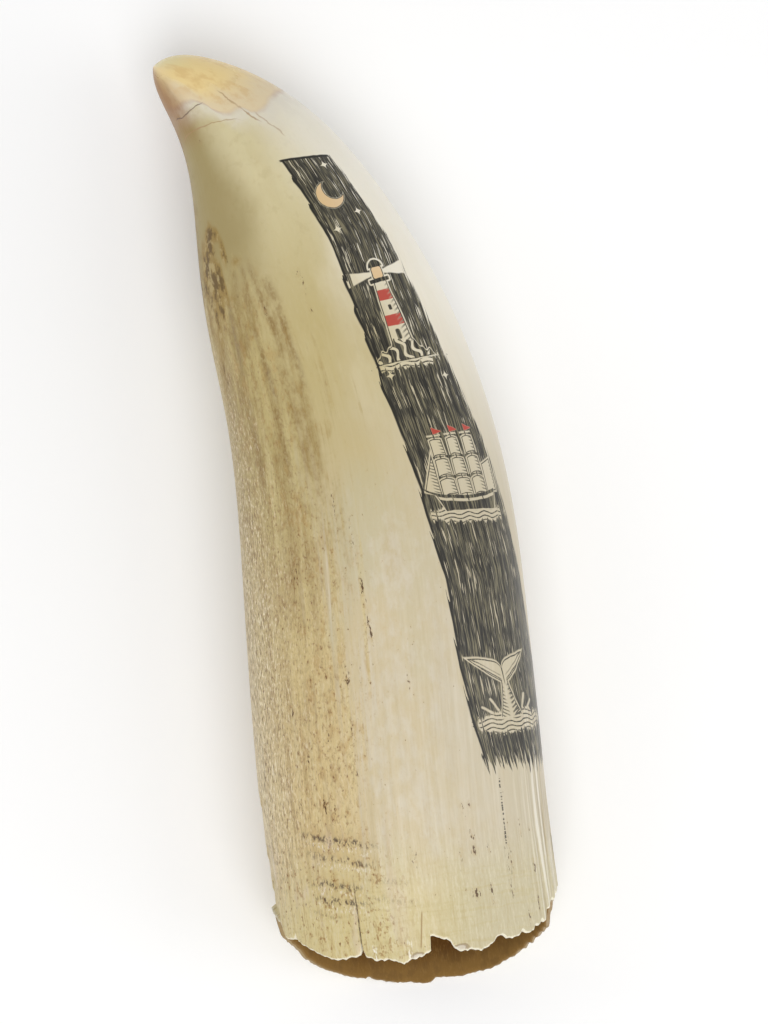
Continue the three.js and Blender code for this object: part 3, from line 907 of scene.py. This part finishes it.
def speck_colour(recipe, skin, under):
    """Small dark specks and pits: clusters of them at known places, a few thinly strewn, and a dotted line
    below the panel that ends in brown specks."""
    halo = recipe.lesser(skin.pitted, 1) * skin.grit.ease(0.4, 0.6)
    colour = under.coated((168, 134, 84), halo * 0.4)
    pits = (skin.dashes + skin.pitted * 0.22).ease(0.66, 0.74) * recipe.lesser(skin.pitted * 3, 1)
    colour = colour.coated((76, 44, 12), pits * 0.9)
    left = skin.right.ease(0.7, -0.5, 0.0, 0.05)
    dark = (skin.grit + left).ease(0.74, 0.79) * skin.s.ease(90, 50)
    colour = colour.coated((104, 70, 30), dark * 0.8)
    from_line = abs(skin.degrees - 48 + (skin.wash - 0.5) * 1.5) * DEGREE
    dots = recipe.noise(recipe.vector(skin.s, 3, 3), 0.42, 1)
    upper = from_line.ease(0.26, 0.12) * abs(skin.s - 14.2).ease(6.2, 5.6)
    colour = colour.coated((24, 20, 20), upper * dots.ease(0.46, 0.52) * 0.9)
    lower = from_line.ease(0.9, 0.2) * abs(skin.s - 4).ease(8, 4)
    return colour.coated((96, 72, 46), lower * skin.dashes.ease(0.55, 0.63) * 0.8)


def crown_crack_colour(recipe, skin, under):
    """Fine hairline cracks round the crown and along it, one of them dark."""
    first, second = recipe.map("cracks_round")
    third, fourth = recipe.map("cracks_along")
    wander = (skin.wash - 0.5) * 1.2

    def line(distance, place, middle, half_length, strength):
        within = abs(place - middle).ease(half_length, half_length * 0.7)
        return abs(distance + wander).ease(0.2, 0.04) * within * strength
    faint = recipe.greater(line(second, skin.degrees, 121, 39, 0.7), line(third, skin.s, 145, 5.2, 0.75))
    faint = recipe.greater(faint, line(fourth, skin.s, 139.2, 3.6, 0.5))
    colour = under.coated((168, 132, 90), faint * skin.patches.ease(0.35, 0.5, 0.5, 1))
    return colour.coated((104, 80, 64), line(first, skin.degrees, 126, 27, 0.8))


def rim_crack_colour(recipe, skin, under):
    """A faint crack up from the great notch, and a dark one from the slit in the rim."""
    at_notch = abs(skin.degrees - 87.6 + skin.s * 0.35) * DEGREE + (skin.wash - 0.5) * 0.3
    notch = at_notch.ease(0.2, 0.05) * abs(skin.s + 4.5).ease(3.5, 2.5)
    colour = under.coated((146, 110, 56), notch * 0.7)
    from_slit = (skin.degrees - SLIT_ANGLE) * (NOMINAL_RADIUS / MM * math.pi / 180) + (skin.wash - 0.5) * 0.3
    slit = abs(from_slit).ease(0.2, 0.06) * skin.s.ease(8, 0)
    return colour.coated((84, 64, 40), slit * skin.dashes.ease(0.38, 0.56, 0.4, 0.95))


class Drawing:
    """A picture in ink: how much ink lies at each place, and where it is tinted. Shapes are distances,
    negative inside, in millimetres from the picture's own origin."""

    def __init__(self, recipe, place, ink, ragged):
        self.recipe = recipe
        self.place = place
        self.ink = ink
        self.ragged = ragged
        self.red = 0
        self.yellow = 0

    def leave_bare(self, shape, margin=0.32):
        """Takes the ink off a shape and a margin round it."""
        self.ink = self.ink * shape.ease(margin - 0.12, margin + 0.12)

    def add_ink(self, amount):
        self.ink = self.recipe.greater(self.ink, amount)

    def view(self, x, y, scale, lean=0):
        """The place as seen from an origin of the panel, at a scale, leaning by some degrees."""
        place = self.recipe.moved(self.place, (1 / scale, 1 / scale, 0), (-x / scale, -y / scale, 0))
        if lean:
            sockets = {"Vector": place, "Angle": math.radians(lean)}
            place = self.recipe.node("VectorRotate", {"rotation_type": "Z_AXIS"}, sockets)
        return place

    def draw_sea(self, x, y, sea, shown):
        """Waves: bare ivory with a ragged edge, and wavy lines across it that sines of the place give."""
        recipe = self.recipe
        shape = sea + (self.ragged - 0.5) * 3
        self.leave_bare(recipe.greater(shape, 0 - shown), 0)
        lines = recipe.math("SINE", (y + recipe.math("SINE", x * 1.6) * 0.2) * 9)
        self.add_ink(lines.ease(0.35, 0.8) * recipe.within(shape + 0.1) * shown.ease(0, 0.15))


def draw_tail(drawing):
    """A whale's tail as it dives: each lobe lies between two curves of the distance from the middle, and
    the stock's half width is a parabola of the height."""
    recipe = drawing.recipe
    place = drawing.view(8.9, 9.0, 1.12, -4)
    x, y, _ = recipe.parts(place)
    out = abs(x)
    below_top = 8.2 - y
    stock = recipe.greater(out - below_top * below_top * 0.036 - 0.5, y - 7.6)
    trailing = out / (out + 0.6) * 1.7 + out * 0.12 + 8.3
    leading = out * 0.42 + out * out * 0.052 + 6.3
    lobes = recipe.greater(y - trailing, leading - y) * 0.85
    whole = recipe.greater(recipe.lesser(stock, lobes), 1.1 - y)
    drawing.draw_sea(x, y, recipe.oval(place, (0, 0.3), (7.6, 1.7)), whole)
    spray = recipe.bar(place, (-2.8, 2.2), (-3.8, 4.0), 0.2)
    for start, end in (((2.8, 2.2), (3.9, 4.2)), ((-4.0, 1.9), (-5.6, 3.0)), ((4.0, 1.9), (5.5, 3.1))):
        spray = recipe.lesser(spray, recipe.bar(place, start, end, 0.2))
    drawing.leave_bare(spray, 0.1)
    drawing.leave_bare(whole)
    ribs = recipe.math("SINE", (y - out * 0.62) * 10).ease(0.1, 0.6)
    shade = ribs * (y - leading).ease(1.5, 0.4) * out.ease(0.3, 0.9)
    side = recipe.math("SINE", y * 9 - x * 3).ease(0.0, 0.5) * x.ease(0.1, 0.6) * y.ease(6.6, 6.0)
    drawing.add_ink(recipe.greater(shade, side) * recipe.within(whole) * 0.9)
    middle = out.ease(0.16, 0.06) * y.ease(5.6, 6.6)
    edges = recipe.along_edge(recipe.lesser(stock, lobes)) * recipe.within(1.1 - y)
    drawing.add_ink(recipe.greater(edges, middle * recipe.within(whole)))


def draw_ship(drawing):
    """A three-masted ship under sail: nine square sails, a jib and a spanker in ivory, and a dark hull with
    a pale band, red pennants and a red waterline. The square sails are one sail in a cell that repeats."""
    recipe = drawing.recipe
    place = drawing.view(8.9, 45.5, 0.97)
    x, y, _ = recipe.parts(place)
    column = recipe.math("FLOORED_MODULO", x + 1.75, 3.5) - 1.75
    row = recipe.math("FLOORED_MODULO", y - 2.7, 3.4) - 1.6 + column * column * 0.16
    sail = recipe.greater(abs(column) - (1.62 - y * 0.045), abs(row) - 1.32)
    sails = recipe.greater(sail, recipe.block(place, (0, 7.8), (5.2, 5.1), 0.3))
    jib = recipe.patch(place, [(-5.3, 9.6), (-5.3, 3.0), (-8.3, 3.7)])
    spanker = recipe.patch(place, [(5.3, 3.0), (5.4, 7.6), (7.8, 8.4), (7.7, 3.2)])
    cloth = recipe.lesser(sails, recipe.lesser(jib, spanker))
    sheer = y - 2.5 - x * x * 0.018
    hull = recipe.greater(recipe.patch(place, [(-6.9, 4), (7.1, 4), (5.9, 0.2), (-5.2, 0.2)]), sheer)
    bowsprit = recipe.bar(place, (-6.2, 2.9), (-9.0, 4.2), 0.3)
    masts = recipe.greater(abs(column) - 0.13, recipe.block(place, (0, 7.8), (5.3, 6.2), 0.2))
    drawing.draw_sea(x, y, recipe.oval(place, (0, -0.5), (8.6, 1.5)), hull)
    drawing.leave_bare(recipe.lesser(cloth, hull))
    band = abs(sheer + 0.75).ease(0.18, 0.3)
    drawing.add_ink(recipe.within(hull) * band)
    shade = recipe.math("SINE", y * 11 + x * 3).ease(0.1, 0.6) * column.ease(0.15, 0.9)
    drawing.add_ink(shade * recipe.within(cloth) * 0.8)
    drawing.add_ink(recipe.greater(recipe.along_edge(cloth), recipe.along_edge(hull)))
    drawing.add_ink(recipe.within(recipe.lesser(bowsprit, recipe.greater(masts, 0.1 - cloth))))
    pennant = recipe.greater(abs(y - 13.9 + column * 0.12) - (0.62 - abs(column) * 0.3), 0.0 - column)
    pennants = recipe.within(recipe.greater(pennant, abs(x) - 5.25))
    drawing.ink = drawing.ink * (1 - pennants)
    drawing.red = recipe.greater(pennants, recipe.within(recipe.greater(hull, y - 0.8)))


def draw_lighthouse(drawing):
    """A banded lighthouse on a rock above the sea, with its lamp lit."""
    recipe = drawing.recipe
    place = drawing.view(6.1, 71.5, 1.12)
    x, y, _ = recipe.parts(place)
    tower = recipe.greater(abs(x) - (2.0 - y * 0.075), recipe.block(place, (0, 7.4), (3, 5.0), 0.5))
    gallery = recipe.block(place, (0, 12.6), (1.75, 0.32), 0.1)
    lamp = recipe.block(place, (0, 13.8), (0.95, 0.95), 0.4)
    dome = recipe.greater(recipe.oval(place, (0, 14.7), (1.25, 1.2)), 14.7 - y)
    crag = recipe.math("SINE", x * 2.1 + 1) * 0.35 + recipe.math("SINE", x * 5.3) * 0.2
    rock = recipe.greater(y - 3.1 + abs(x + 0.3) ** 1.5 * 0.28 + crag, -0.2 - y)
    whole = recipe.lesser(recipe.lesser(tower, gallery), recipe.lesser(lamp, recipe.lesser(dome, rock)))
    beam_edge = abs(y - 13.8) - (abs(x) - 0.9) * 0.2
    far_end = abs(x) - 4.6 - (drawing.ragged - 0.5) * 4
    beams = recipe.greater(beam_edge, recipe.greater(1.3 - abs(x), far_end))
    drawing.draw_sea(x, y, recipe.oval(place, (0, -0.4), (5.6, 1.0)), rock)
    drawing.leave_bare(recipe.lesser(whole, beams), 0.26)
    shade = recipe.math("SINE", y * 9 - x * 4).ease(0.0, 0.5) * x.ease(0.3, 1.3)
    drawing.add_ink(shade * recipe.within(tower) * 0.7)
    crack = recipe.math("SINE", x * 3.4 + y * 1.2 + recipe.math("SINE", y * 2.3 - x) * 1.4)
    drawing.add_ink(recipe.within(rock) * crack.ease(0.7, 0.35))
    door = recipe.block(place, (-0.1, 3.9), (0.42, 0.8), 0.3)
    window = recipe.block(place, (0.1, 8.1), (0.28, 0.42), 0.15)
    solid = recipe.lesser(recipe.lesser(gallery, dome), recipe.lesser(door, window))
    edges = recipe.greater(recipe.along_edge(recipe.lesser(tower, rock)), recipe.along_edge(lamp))
    drawing.add_ink(recipe.greater(edges, recipe.within(solid)))
    bands = recipe.lesser(abs(y - 6.1) - 0.85, abs(y - 10.2) - 0.85)
    drawing.red = recipe.greater(drawing.red, recipe.within(recipe.greater(bands, tower)))
    drawing.yellow = recipe.within(lamp)


def draw_night_sky(drawing):
    """A crescent moon, an oval less another, and stars, each the astroid sqrt x + sqrt y = constant."""
    recipe = drawing.recipe
    place = drawing.place
    bite = recipe.oval(place, (5.3, 103.5), (2.0, 2.0))
    moon = recipe.greater(recipe.oval(place, (4.2, 102.6), (2.5, 2.5)), 0.0 - bite)
    stars = None
    for star in ((7.6, 98.4), (2.2, 96.4), (6.6, 108.0), (1.9, 69.2), (12.6, 67.6)):
        offset = recipe.moved(place, (1, 1, 0), (-star[0], -star[1], 0))
        x, y, _ = recipe.parts(recipe.vector_math("ABSOLUTE", offset))
        reach = (x**0.5 + y**0.5) ** 2 - 0.9
        stars = reach if stars is None else recipe.lesser(stars, reach)
    drawing.leave_bare(recipe.lesser(moon, stars), 0.1)
    drawing.add_ink(recipe.along_edge(moon, 0.1))
    drawing.yellow = recipe.greater(drawing.yellow, recipe.within(moon))


def panel_colour(recipe, skin, under):
    """The ink panel: engraved strokes along the tooth in black over a dark wash, with bare ivory between
    them, and a whale's tail, a ship, a lighthouse and a moon left in it."""
    b, a = recipe.map("panel")
    drift = recipe.noise(recipe.moved(skin.place, (1, 1, 0.4), (0, 40, 0)), 3.0, 2)
    b = b + (drift - 0.5) * 0.5
    a = a + (drift - 0.5) * 0.5
    strokes = recipe.noise(recipe.vector(b * 3.2, a * 0.1, 4), 1.0, 3, 0.7)
    gaps = recipe.noise(recipe.vector(b * 2.9, a * 0.16, 20), 1.0, 2, 0.6)
    ends = recipe.noise(recipe.vector(b * 1.6, a * 0.02, 9), 1.0, 2, 0.6)
    stroke_ends = recipe.math("FRACT", a * 0.12 + (ends - 0.5) * 1.2 + skin.lumps * 4)
    width = PANEL_WIDTH / MM - a * PANEL_NARROWING
    foot = (a - 1.5 + (ends - 0.5) * 14).ease(0, 0.6)
    top = (111.5 - a - b * 0.25).ease(0, 0.15)
    right = (width - b + (gaps - 0.5) * 3).ease(0, 0.4)
    left = b + stroke_ends * 0.45 - 0.1
    cover = foot * top * right * left.ease(-0.1, 0.1)
    ink = cover * gaps.ease(0.66, 0.6, 0.15, 1)
    drawing = Drawing(recipe, recipe.vector(b, a), ink, ends)
    for draw in (draw_tail, draw_ship, draw_lighthouse, draw_night_sky):
        draw(drawing)
    left_line = abs(left - 0.15).ease(0.36, 0.16) * foot * top
    top_line = abs(111.4 - a - b * 0.25).ease(0.32, 0.15) * b.ease(-0.6, -0.2) * right
    lines = recipe.greater(left_line, top_line)
    wash = recipe.blend(seen(122, 115, 90), seen(58, 56, 48), gaps.ease(0.38, 0.54))
    tone = wash.coated((14, 14, 15), strokes.ease(0.46, 0.58))
    tone = tone.coated((10, 10, 11), lines)
    colour = recipe.blend(under, tone, recipe.greater(drawing.ink, lines) * 0.97)
    bare = 1 - drawing.ink
    colour = colour.coated((178, 34, 26), drawing.red * bare * 0.9)
    return colour.coated((220, 164, 76), drawing.yellow * bare * 0.5)


def hollow_colour(recipe, skin):
    """The hollow's wall: golden brown at its edge, dark brown deeper in as painted shade, with a fine grain
    along it.
    """
    from_rim = recipe.attribute("from_rim") * (1 / MM)
    # Painted shade: the brown darkens deeper into the hollow, away from its edge.
    deep = (from_rim + (skin.lumps - 0.5) * 4).ease(0.5, 6)
    brown = recipe.blend(seen(130, 98, 50), seen(90, 58, 18), deep)
    brown = brown.coated((150, 116, 66), skin.dashes.ease(0.5, 0.7) * 0.3)
    brown = brown.coated((74, 48, 18), skin.wash.ease(0.5, 0.36) * 0.2)
    return brown.coated((150, 124, 84), from_rim.ease(0.4, 0.1) * 0.5)


ZONE_LAYERS = {
    "root": (aged_colour, root_colour, speck_colour, rim_crack_colour),
    "middle": (aged_colour, stain_colour, speck_colour),
    "crown": (aged_colour, stain_colour, tip_colour, speck_colour, crown_crack_colour),
}


def make_ivory(name, layers):
    """Polished ivory with layers of age, stain, specks, cracks and, where it is drawn on, ink. The aged
    side is duller and its grain deeper, and the tip is the glossiest."""
    recipe = Recipe(name)
    skin = Skin(recipe)
    colour = body_colour(recipe, skin)
    for layer in layers:
        colour = layer(recipe, skin, colour)
    recipe.feed(recipe.shader.inputs["Base Color"], colour)
    roughness = skin.aged.ease(-4, 14, 0.34, 0.48) + (skin.wash - 0.5) * 0.12
    roughness = roughness - skin.crown.ease(2, 12) * 0.14
    recipe.feed(recipe.shader.inputs["Roughness"], roughness)
    grain = skin.dashes * skin.aged.ease(-4, 20, 0.4, 1.3)
    recipe.add_bump(grain, 0.4, 0.05 * MM)
    recipe.shader.inputs["Specular IOR Level"].default_value = 0.38
    recipe.shader.inputs["Subsurface Weight"].default_value = 0.05
    recipe.shader.inputs["Subsurface Radius"].default_value = (1.0, 0.7, 0.4)
    recipe.shader.inputs["Subsurface Scale"].default_value = 0.35 * MM
    return recipe.material


def make_hollow():
    """The dull, porous wall of the hollow root."""
    recipe = Recipe("hollow")
    skin = Skin(recipe)
    recipe.feed(recipe.shader.inputs["Base Color"], hollow_colour(recipe, skin))
    recipe.feed(recipe.shader.inputs["Roughness"], skin.wash.ease(0.3, 0.7, 0.7, 0.85))
    recipe.add_bump(skin.dashes + skin.brush, 0.5, 0.08 * MM)
    recipe.shader.inputs["Specular IOR Level"].default_value = 0.15
    return recipe.material


def make_pale_floor():
    """Smooth white paper."""
    recipe = Recipe("pale_floor")
    recipe.shader.inputs["Base Color"].default_value = (0.99, 0.99, 0.99, 1)
    recipe.shader.inputs["Roughness"].default_value = 0.9
    return recipe.material


def make_floor():
    """A wide, level floor just under the tooth."""
    half = FLOOR_SIZE / 2
    corners = [(-half, -half, 0), (half, -half, 0), (half, half, 0), (-half, half, 0)]
    mesh = bpy.data.meshes.new("floor")
    mesh.from_pydata(corners, [], [(0, 1, 2, 3)])
    floor = bpy.data.objects.new("floor", mesh)
    bpy.context.scene.collection.objects.link(floor)
    mesh.materials.append(make_pale_floor())


def make_camera():
    """A long lens that looks down on the tooth, with the tip at the top of the picture."""
    data = bpy.data.cameras.new("camera")
    data.sensor_width = 36
    data.lens = LENS
    data.clip_start = 0.01
    camera = bpy.data.objects.new("camera", data)
    bpy.context.scene.collection.objects.link(camera)
    back = np.array([0, -math.cos(CAMERA_ELEVATION), math.sin(CAMERA_ELEVATION)])
    camera.location = (CAMERA_TARGET + CAMERA_DISTANCE * back).tolist()
    camera.rotation_euler = (math.radians(90) - CAMERA_ELEVATION, 0, 0)
    bpy.context.scene.camera = camera


def area_light(name, place, size, power):
    """A soft rectangular light at place, turned towards the tooth."""
    data = bpy.data.lights.new(name, "AREA")
    data.shape = "RECTANGLE"
    data.size, data.size_y = size
    data.energy = power
    light = bpy.data.objects.new(name, data)
    bpy.context.scene.collection.objects.link(light)
    light.location = place
    away = np.array(place) - np.array(LIT_POINT)
    away /= np.linalg.norm(away)
    turn = math.atan2(away[0], -away[1])
    tilt = math.acos(away[2])
    light.rotation_euler = (tilt, 0, turn)


def make_lights():
    """A broad softbox above on the root's side, one at each side, and a bright even surround."""
    for name, place, size, power in SOFTBOXES:
        area_light(name, place, size, power)
    world = bpy.data.worlds.new("surround")
    bpy.context.scene.world = world
    world.use_nodes = True
    background = world.node_tree.nodes["Background"]
    background.inputs["Color"].default_value = (1, 1, 1, 1)
    background.inputs["Strength"].default_value = SURROUND_STRENGTH


make_camera()
make_lights()
make_floor()
tooth = make_tooth()
for zone, layers in ZONE_LAYERS.items():
    tooth.data.materials.append(make_ivory(zone + "_ivory", layers))
for zone, layers in ZONE_LAYERS.items():
    tooth.data.materials.append(make_ivory("inked_" + zone + "_ivory", (*layers, panel_colour)))
tooth.data.materials.append(make_hollow())
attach(tooth, "root")
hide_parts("tooth")

bpy.context.scene.view_settings.view_transform = "Standard"
